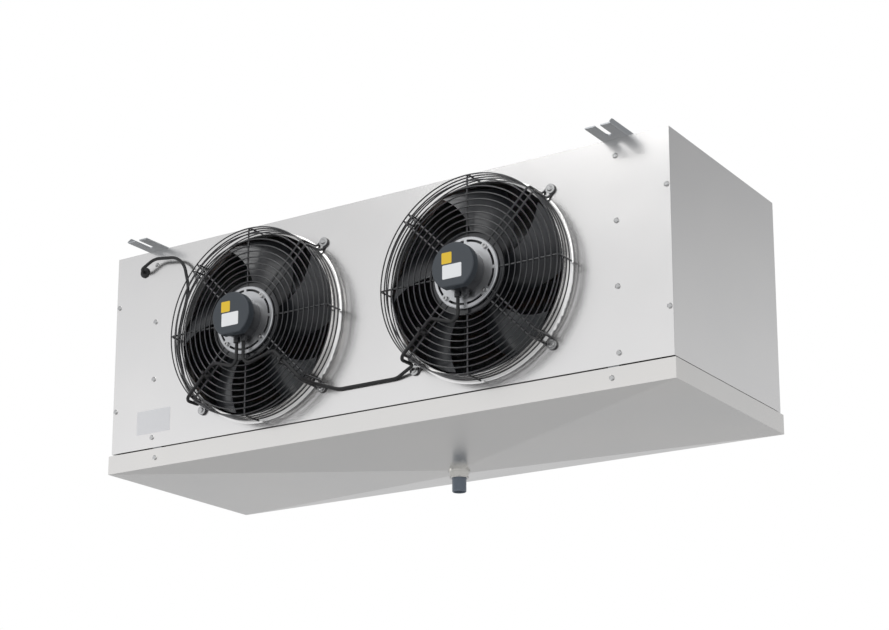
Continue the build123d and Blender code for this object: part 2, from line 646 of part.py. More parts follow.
# ---- fan guard --------------------------------------------------------------------------
def bent_wire(outline, bends, offset, wire):
    """A wire bent in the (radius, y) plane: its side outline, with the bends rounded."""
    bar = extrude(make_face(Polyline(*outline, close=True)), wire)
    for (r, y), radius in bends:
        edges = bar.edges().filter_by(Axis.Z)
        corner = edges.sort_by(lambda e: abs(e.center().X - r) + abs(e.center().Y - y))[0]
        bar = fillet(corner, radius)
    return Pos(0, 0, offset - wire / 2) * bar


def guard_arm(degrees):
    """One double-wire arm: out behind the rings, back down the side and round its screw."""
    half = ARM_WIRE / 2
    start, outside, inside = PLATE_BORE + 2, ARM_RADIUS + half, ARM_RADIUS - half
    front, back, foot = ARM_Y - half, ARM_Y + half, FRONT - ARM_WIRE
    outline = [
        (start, front),
        (outside, front),
        (outside, foot),
        (FOOT_RADIUS, foot),
        (FOOT_RADIUS, FRONT),
        (inside + 6, FRONT),
        (inside, FRONT - 4),
        (inside, back),
        (start, back),
    ]
    bends = [((outside, front), ARM_BEND + half), ((inside, back), ARM_BEND - half), ((outside, foot), 4)]
    wire = bent_wire(outline, bends, ARM_SPREAD, ARM_WIRE)
    loop = rod_y(ARM_SPREAD + half, FOOT_RADIUS, foot, FRONT, 0)
    loop -= rod_y(ARM_SPREAD - half, FOOT_RADIUS, foot - 1, FRONT + 1, 0)
    loop &= block(FOOT_RADIUS, FOOT_RADIUS + 20, foot, FRONT, -20, 20)
    return spun(wire + mirror(wire, about=Plane.XY) + loop, degrees)


def guard_spoke(degrees):
    """One single spoke behind the rings, bent back over the side rings."""
    half = SPOKE_WIRE / 2
    end = GUARD_Y + SIDE_RING_COUNT * SIDE_RING_STEP + RING_WIRE + 1
    start, outside, inside = PLATE_BORE + 2, SPOKE_RADIUS + half, SPOKE_RADIUS - half
    front, back = SPOKE_Y - half, SPOKE_Y + half
    outline = [(start, front), (outside, front), (outside, end), (inside, end), (inside, back), (start, back)]
    bends = [((outside, front), ARM_BEND + half), ((inside, back), ARM_BEND - half)]
    return spun(bent_wire(outline, bends, 0, SPOKE_WIRE), degrees)


def fan_guard():
    """Wire guard: front rings, side rings, four spokes and four double-wire arms."""
    guard = None
    pitch = (GUARD_RADIUS - INNER_RING_RADIUS) / (RING_COUNT - 1)
    pieces = [ring(INNER_RING_RADIUS + i * pitch, RING_WIRE, GUARD_Y) for i in range(RING_COUNT)]
    pieces += [
        ring(GUARD_RADIUS, RING_WIRE, GUARD_Y + i * SIDE_RING_STEP)
        for i in range(1, SIDE_RING_COUNT + 1)
    ]
    pieces += [guard_arm(a) for a in ARM_ANGLES]
    pieces += [guard_spoke(a) for a in SPOKE_ANGLES]
    pieces.append(inner_plate())
    guard = pieces[0]
    for piece in pieces[1:]:
        guard += piece
    return guard


def inner_plate():
    """Pressed ring at the guard's middle, behind its wires, that the motor is bolted to."""
    y = ARM_Y
    plate = turned([
        (PLATE_BORE, y),
        (INNER_RING_RADIUS + 1, y),
        (INNER_RING_RADIUS + 1, y + ARM_WIRE / 2),
        (PLATE_BORE, y + ARM_WIRE / 2),
    ])
    for a in ARM_ANGLES:
        plate -= spun(rod_y(2.5, FLANGE_BOLT_RADIUS, y - 1, y + 5, 0), a)
    return plate


def guard_screws(x):
    """Screws and washers that hold the guard's feet to the panel."""
    pieces = []
    for px, _, pz in guard_screw_places(x):
        y = FRONT - ARM_WIRE
        screw = pan_head(px, y - WASHER, pz, ARM_WIRE + WASHER + SHEET + 8)
        pieces.append(screw + rod_y(WASHER_RADIUS, px, y - WASHER, y, pz))
    return pieces


# ---- fan motor --------------------------------------------------------------------------
def motor_flange():
    """Die-cast ring with curved slots between its four bolts."""
    inner = NECK_RADIUS
    flange = turned([
        (inner, FLANGE_FRONT),
        (FLANGE_RADIUS - 1.5, FLANGE_FRONT),
        (FLANGE_RADIUS, FLANGE_FRONT + 1.5),
        (FLANGE_RADIUS, FLANGE_BACK),
        (inner, FLANGE_BACK),
    ])
    half = FLANGE_SLOT / 2
    band = turned([
        (FLANGE_BOLT_RADIUS - half, FLANGE_FRONT - 1),
        (FLANGE_BOLT_RADIUS + half, FLANGE_FRONT - 1),
        (FLANGE_BOLT_RADIUS + half, FLANGE_BACK + 1),
        (FLANGE_BOLT_RADIUS - half, FLANGE_BACK + 1),
    ])
    keep = None
    for a in ARM_ANGLES:
        lump = spun(block(45, 72, FLANGE_FRONT - 1, FLANGE_BACK + 1, -9, 9), a)
        web = spun(block(45, 72, FLANGE_FRONT - 1, FLANGE_BACK + 1, -3, 3), a + 45)
        keep = lump + web if keep is None else keep + lump + web
    flange -= band - keep
    for a in ARM_ANGLES:
        flange -= spun(rod_y(2.5, FLANGE_BOLT_RADIUS, FLANGE_FRONT - 1, FLANGE_BACK + 1, 0), a)
    return flange


def motor_body():
    """Fixed middle of the motor: neck, stator and the two bearing seats."""
    end = ROTOR_BACK - ROTOR_WALL - 4
    body = turned([
        (0, CAP_Y + CAP_THICKNESS),
        (NECK_RADIUS, CAP_Y + CAP_THICKNESS),
        (NECK_RADIUS, FLANGE_BACK),
        (STATOR_RADIUS, FLANGE_BACK),
        (STATOR_RADIUS, end),
        (BEARING_RADIUS, end),
        (BEARING_RADIUS, end - BEARING_WIDTH),
        (SHAFT_RADIUS + 2, end - BEARING_WIDTH),
        (SHAFT_RADIUS + 2, FLANGE_BACK + BEARING_WIDTH),
        (BEARING_RADIUS, FLANGE_BACK + BEARING_WIDTH),
        (BEARING_RADIUS, FLANGE_BACK),
        (0, FLANGE_BACK),
    ])
    for sx in (-1, 1):
        body += rod_z(GLAND_RADIUS, sx * GLAND_X, GLAND_Y, GLAND_DROP, -NECK_RADIUS + 6)
    return body


def motor_bearings():
    """Two deep-groove bearings, each a ring on the shaft."""
    end = ROTOR_BACK - ROTOR_WALL - 4
    bore = SHAFT_RADIUS + RUNNING_CLEARANCE
    rings = []
    for y in (FLANGE_BACK, end - BEARING_WIDTH):
        rings.append(turned([
            (bore, y),
            (BEARING_RADIUS, y),
            (BEARING_RADIUS, y + BEARING_WIDTH),
            (bore, y + BEARING_WIDTH),
        ]))
    return rings


def motor_cap():
    """Terminal cap: a disc cut flat along its lower edge, its rim rounded to the front."""
    cap = rod_y(CAP_RADIUS, 0, CAP_Y, CAP_Y + CAP_THICKNESS, 0)
    cap -= block(-CAP_RADIUS, CAP_RADIUS, CAP_Y - 1, CAP_Y + CAP_THICKNESS + 1, -CAP_RADIUS - 1, -CAP_FLAT)
    front = cap.faces().sort_by(Axis.Y)[0].edges()
    return fillet(front, CAP_EDGE)


def flange_bolts():
    """Four bolts through the flange and the guard's middle plate, with their nuts."""
    bolts = []
    nut = extrude(RegularPolygon(4, 6, major_radius=False), 3.5)
    for a in ARM_ANGLES:
        head = rod_y(4.6, FLANGE_BOLT_RADIUS, FLANGE_FRONT - 4, FLANGE_FRONT, 0)
        socket = Pos(FLANGE_BOLT_RADIUS, FLANGE_FRONT - 2, 0) * Rot(90, 0, 0) * extrude(
            RegularPolygon(2.2, 6, major_radius=False), 3)
        shank = rod_y(2.5, FLANGE_BOLT_RADIUS, FLANGE_FRONT, ARM_Y + ARM_WIRE / 2, 0)
        back = Pos(FLANGE_BOLT_RADIUS, ARM_Y + ARM_WIRE / 2 + 3.5, 0) * Rot(90, 0, 0) * nut
        bolts.append(spun(head - socket + shank + back, a))
    return bolts


def blade_section(radius):
    """Cambered blade section, square to its radius."""
    share = max(0.0, (radius - ROTOR_RADIUS) / (TIP_RADIUS - ROTOR_RADIUS))
    half = (BLADE_ROOT_CHORD + (BLADE_TIP_CHORD - BLADE_ROOT_CHORD) * share) / 2
    pitch = BLADE_ROOT_PITCH + (BLADE_TIP_PITCH - BLADE_ROOT_PITCH) * share
    turn = math.radians(BLADE_SWEEP * share ** 1.5)
    radial = Vector(math.cos(turn), 0, math.sin(turn))
    middle = radial * radius + Vector(0, FRONT - BLADE_CENTRE, 0)
    around = Vector(-math.sin(turn), 0, math.cos(turn))
    chord = around.rotate(Axis((0, 0, 0), radial), pitch)
    plane = Plane(origin=middle, x_dir=chord, z_dir=radial)
    rise = BLADE_CAMBER * half
    curve = ThreePointArc((-half, 0), (0, rise), (half, 0))
    under = ThreePointArc((-half, -BLADE_SHEET), (0, rise - BLADE_SHEET), (half, -BLADE_SHEET))
    ends = [Line(curve @ i, under @ i) for i in (0, 1)]
    return plane * make_face([curve, under] + ends)


def fan_blades():
    """Sickle blades lofted between their sections, cut to the rotor and to the tip circle."""
    first, last = ROTOR_RADIUS - 8, TIP_RADIUS + 3
    radii = [first + (last - first) * i / 3 for i in range(4)]
    blade = loft([blade_section(r) for r in radii])
    blade &= rod_y(TIP_RADIUS, 0, FRONT - 80, FRONT + 80, 0)
    blade -= rod_y(ROTOR_RADIUS, 0, FRONT - 90, FRONT + 90, 0)
    return [spun(blade, 360 / BLADE_COUNT * i) for i in range(BLADE_COUNT)]


def rotor():
    """External rotor cup with its shaft."""
    cup = turned([
        (0, ROTOR_BACK),
        (ROTOR_RADIUS - 6, ROTOR_BACK),
        (ROTOR_RADIUS, ROTOR_BACK - 6),
        (ROTOR_RADIUS, ROTOR_FRONT),
        (ROTOR_RADIUS - ROTOR_WALL, ROTOR_FRONT),
        (ROTOR_RADIUS - ROTOR_WALL, ROTOR_BACK - ROTOR_WALL),
        (SHAFT_RADIUS, ROTOR_BACK - ROTOR_WALL),
        (SHAFT_RADIUS, FLANGE_BACK + 0.5),
        (0, FLANGE_BACK + 0.5),
    ])
    return cup


def cap_plate(dx, dz, width, height):
    """A thin blank plate on the front of a terminal cap."""
    return block(dx - width / 2, dx + width / 2, CAP_Y - 0.4, CAP_Y, dz - height / 2, dz + height / 2)


# ---- leads --------------------------------------------------------------------------------
LEAD_SIDE = 196.5              # a lead runs down a guard's side this far from the fan axis
LEAD_FRONT = GUARD_Y - 5.0     # and in front of the guard's rings at this depth
LEAD_SKIRT = FRONT - 16.0      # and round the guard at this depth
LEAD_TRACK = FRONT - LEAD_RADIUS - 0.3


def supply_cable():
    """Lead from the grommet round the left guard to the left motor's outer gland."""
    x = -FAN_X
    points = [
        (GROMMET_X, SKIN + 14, -GROMMET_DROP),
        (GROMMET_X, LEAD_SKIRT, -GROMMET_DROP),
        (-520, LEAD_SKIRT, -24),
        (-445, LEAD_SKIRT, -34),
        polar(x, LEAD_SIDE + 9, 149, LEAD_SKIRT),
        polar(x, LEAD_SIDE + 8, 180, LEAD_SKIRT),
        polar(x, LEAD_SIDE + 5, 208, LEAD_SKIRT),
        polar(x, LEAD_SIDE, 225, LEAD_SKIRT),
        polar(x, LEAD_SIDE, 225, LEAD_FRONT),
        polar(x, 104, 225, LEAD_FRONT),
        (x - GLAND_X, GLAND_Y, FAN_Z - 96),
        (x - GLAND_X, GLAND_Y, FAN_Z + GLAND_DROP),
    ]
    return lead("supply_cable", points, [11, 40, 48, 90, 140, 110, 12, 12, 25, 14])


def link_cable():
    """Lead from the left motor's inner gland across the panel to the right motor."""
    x0, x1 = -FAN_X, FAN_X
    points = [
        (x0 + GLAND_X, GLAND_Y, FAN_Z + GLAND_DROP),
        (x0 + GLAND_X, GLAND_Y, FAN_Z - 96),
        polar(x0, 104, 315, LEAD_FRONT),
        polar(x0, LEAD_SIDE, 315, LEAD_FRONT),
        polar(x0, LEAD_SIDE, 315, LEAD_SKIRT),
        (-66, LEAD_TRACK, FAN_Z - 154),
        (66, LEAD_TRACK, FAN_Z - 154),
        polar(x1, LEAD_SIDE, 225, LEAD_SKIRT),
        polar(x1, LEAD_SIDE, 225, LEAD_FRONT),
        polar(x1, 104, 225, LEAD_FRONT),
        (x1 - GLAND_X, GLAND_Y, FAN_Z - 96),
        (x1 - GLAND_X, GLAND_Y, FAN_Z + GLAND_DROP),
    ]
    return lead("link_cable", points, [14, 12, 12, 12, 40, 40, 12, 12, 12, 14])


def cable_grommet():
    """Rubber grommet in the panel, grooved for the sheet."""
    grommet = rod_y(GROMMET_RADIUS, GROMMET_X, FRONT - 4, FRONT, -GROMMET_DROP)
    front = grommet.edges().filter_by(GeomType.CIRCLE).sort_by(Axis.Y)[0]
    grommet = fillet(front, 2.5)
    grommet += rod_y(GROMMET_RADIUS * 0.7, GROMMET_X, FRONT, SKIN, -GROMMET_DROP)
    grommet += rod_y(GROMMET_RADIUS * 0.9, GROMMET_X, SKIN, SKIN + 2.5, -GROMMET_DROP)
    return grommet - rod_y(LEAD_RADIUS, GROMMET_X, FRONT - 5, SKIN + 5, -GROMMET_DROP)


def cable_tie(x, degrees):
    """Strap round a lead and the two wires of the guard arm behind it."""
    width = ARM_SPREAD + ARM_WIRE / 2 + 0.3
    y0, y1 = LEAD_FRONT - LEAD_RADIUS - 0.2, ARM_Y + ARM_WIRE / 2 + 0.3
    r0, r1 = TIE_RADIUS - 2, TIE_RADIUS + 2
    strap = block(r0, r1, y0 - 1.2, y1 + 1.2, -width - 1.2, width + 1.2)
    strap = chamfer(strap.edges().filter_by(Axis.X).group_by(Axis.Y)[0], 5)
    inside = block(r0 - 1, r1 + 1, y0, y1, -width, width)
    inside = chamfer(inside.edges().filter_by(Axis.X).group_by(Axis.Y)[0], 4.4)
    head = block(r0 - 0.8, r1 + 0.8, y0 - 4, y0, -2.5, 2.5)
    return at_fan(x, spun(strap - inside + head, degrees))


# ---- nodes --------------------------------------------------------------------------------
def save_casing():
    save("front_panel", front_panel())
    save("top_panel", top_panel())
    save("side_cover_right", side_cover(False))
    save("side_cover_left", mirrored(side_cover(True)))
    save("coil_end_plate_right", end_plate())
    save("coil_end_plate_left", mirrored(end_plate()))
    save("tray_lugs", [tray_lug(), mirrored(tray_lug())])
    save("fan_partition", fan_partition())
    save("rear_rail", rear_rail())
    save("panel_screws", [pan_head(x, y, z, 8) for x, y, z in panel_screw_places() + edge_screw_places()])
    save("bracket_right", bracket())
    save("bracket_left", mirrored(bracket()))
    save("bracket_bolts", bracket_bolts(BRACKET_X) + bracket_bolts(-BRACKET_X))


def save_coil():
    save("coil_fins", coil_fins())
    save("coil_tubes", coil_tubes())
    save("coil_return_bends", return_bends(1) + return_bends(-1))
    save("suction_header", suction_header())
    save("liquid_distributor", liquid_line())


def save_tray():
    save("drip_tray", drip_tray())
    save("drain_fitting", drain_fitting())
    save("drain_nut", drain_nut())
    tray_screws = [pan_head(sx * TRAY_SCREW_X, -TRAY_Y, TRAY_SCREW_Z, 11) for sx in (-1, 1)]
    save("tray_screws", tray_screws)
    save("hinge_leaves_fixed", [hinge_leaf(sx * HINGE_X, False) for sx in (-1, 1)])
    save("hinge_leaves_tray", [hinge_leaf(sx * HINGE_X, True) for sx in (-1, 1)])
    half = HINGE_LENGTH / 2
    pins = [rod_x(HINGE_PIN_RADIUS, sx * HINGE_X - half, sx * HINGE_X + half, HINGE_Y, HINGE_Z) for sx in (-1, 1)]
    save("hinge_pins", pins)
    save("hinge_rivets_fixed", hinge_rivets(-HINGE_X, False) + hinge_rivets(HINGE_X, False))
    save("hinge_rivets_tray", hinge_rivets(-HINGE_X, True) + hinge_rivets(HINGE_X, True))


def save_fan(side, x):
    save(f"fan_guard_{side}", at_fan(x, fan_guard()))
    save(f"guard_screws_{side}", guard_screws(x))
    save(f"motor_flange_{side}", at_fan(x, motor_flange()))
    save(f"motor_body_{side}", at_fan(x, motor_body()))
    save(f"motor_bearings_{side}", [at_fan(x, b) for b in motor_bearings()])
    save(f"motor_cap_{side}", at_fan(x, motor_cap()))
    save(f"flange_bolts_{side}", [at_fan(x, b) for b in flange_bolts()])
    save(f"rotor_{side}", at_fan(x, rotor()))
    save(f"fan_blades_{side}", [at_fan(x, b) for b in fan_blades()])


def save_leads():
    save("cable_grommet", cable_grommet())
    save("supply_cable", supply_cable())
    save("link_cable", link_cable())
    save("cable_ties", [cable_tie(-FAN_X, 225), cable_tie(-FAN_X, 315), cable_tie(FAN_X, 225)])


os.makedirs("parts", exist_ok=True)
save_casing()
save_coil()
save_tray()
save_fan("left", -FAN_X)
save_fan("right", FAN_X)
save_leads()
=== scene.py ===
"""Looks of the walk-in unit cooler: finishes, wire guards, labels, light and camera.

Everything is in the CAD frame, in metres: the origin is the middle of the casing's top face,
+Z is up and the fans blow out towards -Y.
"""

import json
import logging
import math
from dataclasses import dataclass
from enum import Enum

import bpy
from mathutils import Matrix, Vector

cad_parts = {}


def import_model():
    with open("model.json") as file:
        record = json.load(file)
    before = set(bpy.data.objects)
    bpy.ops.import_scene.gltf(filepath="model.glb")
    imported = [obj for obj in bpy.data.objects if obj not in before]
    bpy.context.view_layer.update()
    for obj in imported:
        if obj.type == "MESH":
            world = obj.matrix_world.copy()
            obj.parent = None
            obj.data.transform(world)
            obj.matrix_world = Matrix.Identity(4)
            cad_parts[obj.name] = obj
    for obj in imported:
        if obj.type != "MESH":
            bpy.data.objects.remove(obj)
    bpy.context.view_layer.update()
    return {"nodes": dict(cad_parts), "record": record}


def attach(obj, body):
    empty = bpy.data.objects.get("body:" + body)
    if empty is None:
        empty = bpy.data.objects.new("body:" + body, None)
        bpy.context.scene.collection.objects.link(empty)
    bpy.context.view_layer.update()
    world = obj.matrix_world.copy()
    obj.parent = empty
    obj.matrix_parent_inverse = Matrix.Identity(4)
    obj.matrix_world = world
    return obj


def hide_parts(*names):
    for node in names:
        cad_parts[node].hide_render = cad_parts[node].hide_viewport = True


LOG = logging.getLogger("unit_cooler")

Point = tuple[float, float, float]
Profile = tuple[float, float]

PANEL_FACE = -0.218
CAP_FACE = -0.319
CORE_RADIUS_GAP = 0.002
LABEL_THICKNESS = 0.0002
SMOOTH_ANGLE = 50.0
RING_SEGMENTS = 128
RING_SIDES = 10
PLATE_SEGMENTS = 96
BEND_STEPS = 8
EYELET_STEPS = 12
FLOOR_SIZE = 12.0
FLOOR_HEIGHT = -2.4
CAMERA_PLACE = (2.0815, -3.1686, -1.416)
CAMERA_TILT = 90 + 13.16
CAMERA_TURN = 32.96
LENS = 82.0
SENSOR = 36.0
SHIFT_UP = 0.2


class Side(Enum):
    """The two fans, named as their CAD bodies are."""

    LEFT = "left"
    RIGHT = "right"


class Surface(Enum):
    """How a finish breaks up its shine."""

    SMOOTH = "smooth"
    ROLLED = "rolled"
    GRAINED = "grained"
    PAINTED = "painted"


@dataclass(frozen=True)
class Finish:
    """One named real material.

    Attributes:
        name: name of the Blender material.
        colour: sRGB colour as a hex string.
        tint: second colour that the surface drifts to in soft patches.
        metallic: 1 for bare metal.
        roughness: mean roughness.
        surface: how the shine breaks up.
        scale: size of that pattern, in cycles per metre.
        bump: depth of its relief, in metres.
        coat: strength of a clear gloss over the colour.
    """

    name: str
    colour: str
    tint: str
    metallic: float
    roughness: float
    surface: Surface = Surface.SMOOTH
    scale: float = 40.0
    bump: float = 0.0
    coat: float = 0.0


CASING = Finish("satin_aluminium_sheet", "ebe9e7", "e4e3e2", 1.0, 0.24, Surface.PAINTED, 9.0)
TRAY = Finish("satin_aluminium_tray", "e6e3df", "dedddb", 1.0, 0.24, Surface.PAINTED, 9.0)
ZINC = Finish("galvanised_steel", "b9bbbd", "a5a8ab", 1.0, 0.38, Surface.ROLLED, 26.0, 0.00002)
SCREW = Finish("zinc_plated_screw", "c9c9c8", "b5b5b5", 1.0, 0.25)
FIN = Finish("aluminium_fin_foil", "c4c6c8", "b2b4b7", 1.0, 0.4, Surface.ROLLED, 60.0, 0.00001)
COPPER = Finish("drawn_copper_pipe", "b87a55", "a0653f", 1.0, 0.32, Surface.ROLLED, 20.0, 0.0)
WIRE = Finish(
    "gloss_black_coated_wire", "17171a", "1d1e21", 0.0, 0.22, Surface.PAINTED, 300.0, 0.00001, 0.6
)
CAST = Finish("die_cast_aluminium", "c9cacb", "b9babc", 1.0, 0.36, Surface.GRAINED, 700.0, 0.00003)
MOTOR = Finish(
    "satin_black_motor_paint", "1a1b1e", "222428", 0.0, 0.34, Surface.PAINTED, 200.0, 0.00001, 0.3
)
BLADE = Finish(
    "black_coated_blade", "1b1c1f", "26282c", 0.0, 0.3, Surface.PAINTED, 120.0, 0.00001, 0.4
)
CAP = Finish("dark_slate_nylon", "343a40", "3b4147", 0.0, 0.5, Surface.GRAINED, 900.0, 0.00002)
RUBBER = Finish("matt_black_rubber", "151516", "1c1c1d", 0.0, 0.6, Surface.GRAINED, 500.0, 0.00001)
NYLON = Finish("black_nylon", "141415", "1b1b1c", 0.0, 0.4)
STUB = Finish("blue_grey_pvc", "6b7480", "76808b", 0.0, 0.42, Surface.GRAINED, 300.0, 0.00001)
NICKEL = Finish("bright_nickel_plate", "d9d8d4", "cfcecb", 1.0, 0.14)
PAPER = Finish("white_vinyl_label", "eceded", "e6e7e8", 0.0, 0.42)
FOIL = Finish("silver_vinyl_label", "dededf", "d8d8d9", 0.3, 0.38)
AMBER = Finish("yellow_vinyl_label", "e8c22a", "e2ba20", 0.0, 0.4)
FLOOR = Finish("pale_floor", "f0f0f0", "ececec", 0.0, 0.7)

SLOTS: dict[str, Finish] = {
    "casing_sheet": CASING,
    "tray_sheet": TRAY,
    "zinc_sheet": ZINC,
    "screw_steel": SCREW,
    "fin_foil": FIN,
    "copper": COPPER,
    "guard_wire": WIRE,
    "cast_aluminium": CAST,
    "motor_black": MOTOR,
    "cap_plastic": CAP,
    "black_rubber": RUBBER,
    "black_nylon": NYLON,
    "drain_plastic": STUB,
    "drain_nickel": NICKEL,
}


@dataclass(frozen=True)
class GuardSpec:
    """Sizes of a wire fan guard, in metres.

    Attributes:
        front: foremost face of the front rings.
        panel: face of the front panel that the feet stand on.
        rim: radius of the outermost front ring and of the side rings.
        inner: radius of the innermost front ring.
        rings: number of front rings.
        side_rings: number of rings down the side.
        side_step: distance from one side ring to the next.
        ring_wire: thickness of the rings' wire.
        spoke_wire: thickness of the four single spokes.
        arm_wire: thickness of the four double arms.
        start: radius that spokes and arms start from.
        foot: radius of the foot screws' circle.
        spread: half the distance between an arm's two wires.
        bend: radius of the wires' bends.
        weld: how far crossing wires sink into each other.
    """

    front: float = -0.273
    panel: float = PANEL_FACE
    rim: float = 0.186
    inner: float = 0.077
    rings: int = 10
    side_rings: int = 4
    side_step: float = 0.011
    ring_wire: float = 0.0026
    spoke_wire: float = 0.0036
    arm_wire: float = 0.0044
    start: float = 0.051
    foot: float = 0.205
    spread: float = 0.0075
    bend: float = 0.007
    weld: float = 0.0005


@dataclass(frozen=True)
class FanSpec:
    """Where a fan is.

    Attributes:
        side: which of the two.
        x: middle of the fan along the casing.
        z: height of its middle.
    """

    side: Side
    x: float
    z: float = -0.212


FANS = (FanSpec(Side.LEFT, -0.25), FanSpec(Side.RIGHT, 0.25))
GUARD = GuardSpec()


# ---- small helpers -------------------------------------------------------------------------
def linear(colour: str) -> tuple[float, float, float, float]:
    """Turns an sRGB hex colour into linear light.

    Args:
        colour: six hex digits.

    Returns:
        Red, green, blue and alpha.
    """
    parts = [int(colour[i:i + 2], 16) / 255 for i in (0, 2, 4)]
    light = [c / 12.92 if c <= 0.04045 else ((c + 0.055) / 1.055) ** 2.4 for c in parts]
    return (*light, 1.0)


def clear_selection() -> None:
    """Deselects everything before a primitive is added."""
    bpy.ops.object.select_all(action="DESELECT")


def select_only(obj: bpy.types.Object) -> None:
    """Makes one object the selected and active one.

    Args:
        obj: the object that the next operator works on.
    """
    clear_selection()
    obj.select_set(True)
    bpy.context.view_layer.objects.active = obj


def apply_modifier(obj: bpy.types.Object, name: str) -> None:
    """Applies one modifier to an object's mesh.

    Args:
        obj: the object that has the modifier.
        name: the modifier's name.
    """
    select_only(obj)
    bpy.ops.object.modifier_apply(modifier=name)


def name_active(name: str) -> bpy.types.Object:
    """Names the active object and its mesh.

    Args:
        name: the name that both get.

    Returns:
        The active object.
    """
    obj = bpy.context.active_object
    obj.name = name
    obj.data.name = name
    return obj


def settle(obj: bpy.types.Object) -> bpy.types.Object:
    """Applies an object's place to its mesh, so that it sits at the origin unturned.

    Args:
        obj: an object that was placed, turned or scaled.

    Returns:
        The same object.
    """
    obj.data.transform(obj.matrix_basis)
    obj.matrix_basis = Matrix.Identity(4)
    return obj


def join(objs: list[bpy.types.Object], name: str) -> bpy.types.Object:
    """Joins meshes into one object at the origin.

    Args:
        objs: the meshes, at least one.
        name: the name of the whole.

    Returns:
        The joined object.
    """
    for obj in objs:
        settle(obj)
    clear_selection()
    for obj in objs:
        obj.select_set(True)
    bpy.context.view_layer.objects.active = objs[0]
    if len(objs) > 1:
        bpy.ops.object.join()
    whole = name_active(name)
    return settle(whole)


def smooth(obj: bpy.types.Object, degrees: float) -> None:
    """Shades an object smooth, and keeps the creases that are sharper than an angle.

    Args:
        obj: the object to shade.
        degrees: the sharpest angle that's still shaded smooth.
    """
    select_only(obj)
    bpy.ops.object.shade_smooth_by_angle(angle=math.radians(degrees))


# ---- finishes ------------------------------------------------------------------------------
class Paintshop:
    """Makes each finish once, and puts it on pieces."""

    def __init__(self) -> None:
        self._made: dict[str, bpy.types.Material] = {}

    def material(self, finish: Finish) -> bpy.types.Material:
        """Returns the node material of a finish, and builds it the first time.

        Args:
            finish: the named real material.

        Returns:
            Its Blender material.
        """
        if finish.name not in self._made:
            self._made[finish.name] = self._build(finish)
        return self._made[finish.name]

    def put(self, obj: bpy.types.Object, finish: Finish) -> None:
        """Gives a new piece its finish.

        Args:
            obj: a piece made here.
            finish: its material.
        """
        obj.data.materials.clear()
        obj.data.materials.append(self.material(finish))

    def dress(self, obj: bpy.types.Object, finish: Finish) -> None:
        """Gives a CAD node its finish on the object, and leaves its mesh alone.

        Args:
            obj: the node's object.
            finish: its material.
        """
        for slot in obj.material_slots:
            slot.link = "OBJECT"
            slot.material = self.material(finish)

    def _build(self, finish: Finish) -> bpy.types.Material:
        material = bpy.data.materials.new(finish.name)
        material.use_nodes = True
        tree = material.node_tree
        nodes, links = tree.nodes, tree.links
        shader = nodes["Principled BSDF"]
        shader.inputs["Metallic"].default_value = finish.metallic
        shader.inputs["Roughness"].default_value = finish.roughness
        shader.inputs["Coat Weight"].default_value = finish.coat
        shader.inputs["Coat Roughness"].default_value = 0.12
        place = nodes.new("ShaderNodeTexCoord")

        # the colour drifts softly between two near shades
        drift = nodes.new("ShaderNodeTexNoise")
        drift.inputs["Scale"].default_value = 6.0
        drift.inputs["Detail"].default_value = 2.0
        links.new(place.outputs["Object"], drift.inputs["Vector"])
        blend = nodes.new("ShaderNodeMix")
        blend.data_type = "RGBA"
        blend.inputs["A"].default_value = linear(finish.colour)
        blend.inputs["B"].default_value = linear(finish.tint)
        links.new(drift.outputs["Fac"], blend.inputs["Factor"])
        links.new(blend.outputs["Result"], shader.inputs["Base Color"])

        if finish.surface is Surface.SMOOTH:
            return material

        # grain: stretched along X on rolled sheet, even on castings, plastic and paint
        grain = nodes.new("ShaderNodeTexNoise")
        grain.inputs["Scale"].default_value = finish.scale
        grain.inputs["Detail"].default_value = 4.0
        stretch = nodes.new("ShaderNodeMapping")
        if finish.surface is Surface.ROLLED:
            stretch.inputs["Scale"].default_value = (1.0, 12.0, 12.0)
        links.new(place.outputs["Object"], stretch.inputs["Vector"])
        links.new(stretch.outputs["Vector"], grain.inputs["Vector"])
        spread = nodes.new("ShaderNodeMapRange")
        spread.inputs["To Min"].default_value = finish.roughness * 0.88
        spread.inputs["To Max"].default_value = finish.roughness * 1.14
        links.new(grain.outputs["Fac"], spread.inputs["Value"])
        links.new(spread.outputs["Result"], shader.inputs["Roughness"])

        if finish.bump > 0:
            relief = nodes.new("ShaderNodeBump")
            relief.inputs["Strength"].default_value = 0.35
            relief.inputs["Distance"].default_value = finish.bump
            links.new(grain.outputs["Fac"], relief.inputs["Height"])
            links.new(relief.outputs["Normal"], shader.inputs["Normal"])
        return material


